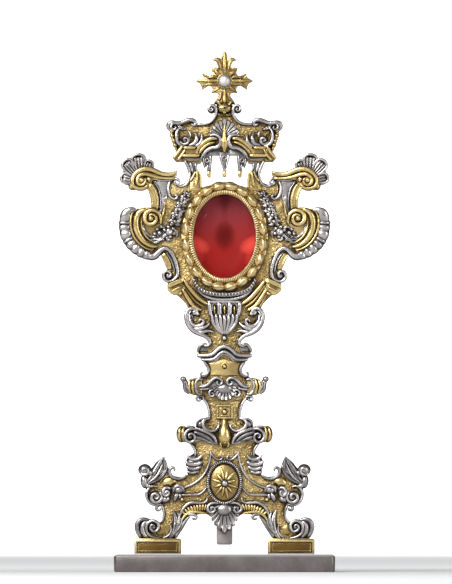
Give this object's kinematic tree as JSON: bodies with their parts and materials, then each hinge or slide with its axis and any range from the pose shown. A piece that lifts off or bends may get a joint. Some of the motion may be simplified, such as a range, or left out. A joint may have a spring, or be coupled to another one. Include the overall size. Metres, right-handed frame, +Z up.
{
  "type": "reliquary",
  "caption": "Standing baroque table reliquary: cast gilt and silvered scroll relief with an oval window under a canopy, a small cross on top, and a flat plinth.",
  "frame": {"origin": "middle of the plinth's underside", "axes": "+Z up to the cross, front with the window toward -Y, +X to the viewer's right"},
  "size_m": [0.1684, 0.072, 0.4],
  "materials": {
    "plinth": "satin grey casting with small pits",
    "relief": "gilt and silvered casting with dark patina in the crevices",
    "bezel": "polished gilt",
    "window_glass": "clear and domed",
    "lining": "red satin",
    "relic_case": "plain brass, turned dull",
    "cross": "polished gilt",
    "cross_boss": "polished silver plating",
    "back_bar": "dull grey"
  },
  "bodies": {
    "root": {"plinth": "plinth", "relief": "relief", "bezel": "bezel", "window_glass": "window_glass", "lining": "lining", "relic_case": "relic_case", "cross": "cross", "cross_boss": "cross_boss", "back_bar": "back_bar"}
  },
  "joints": []
}
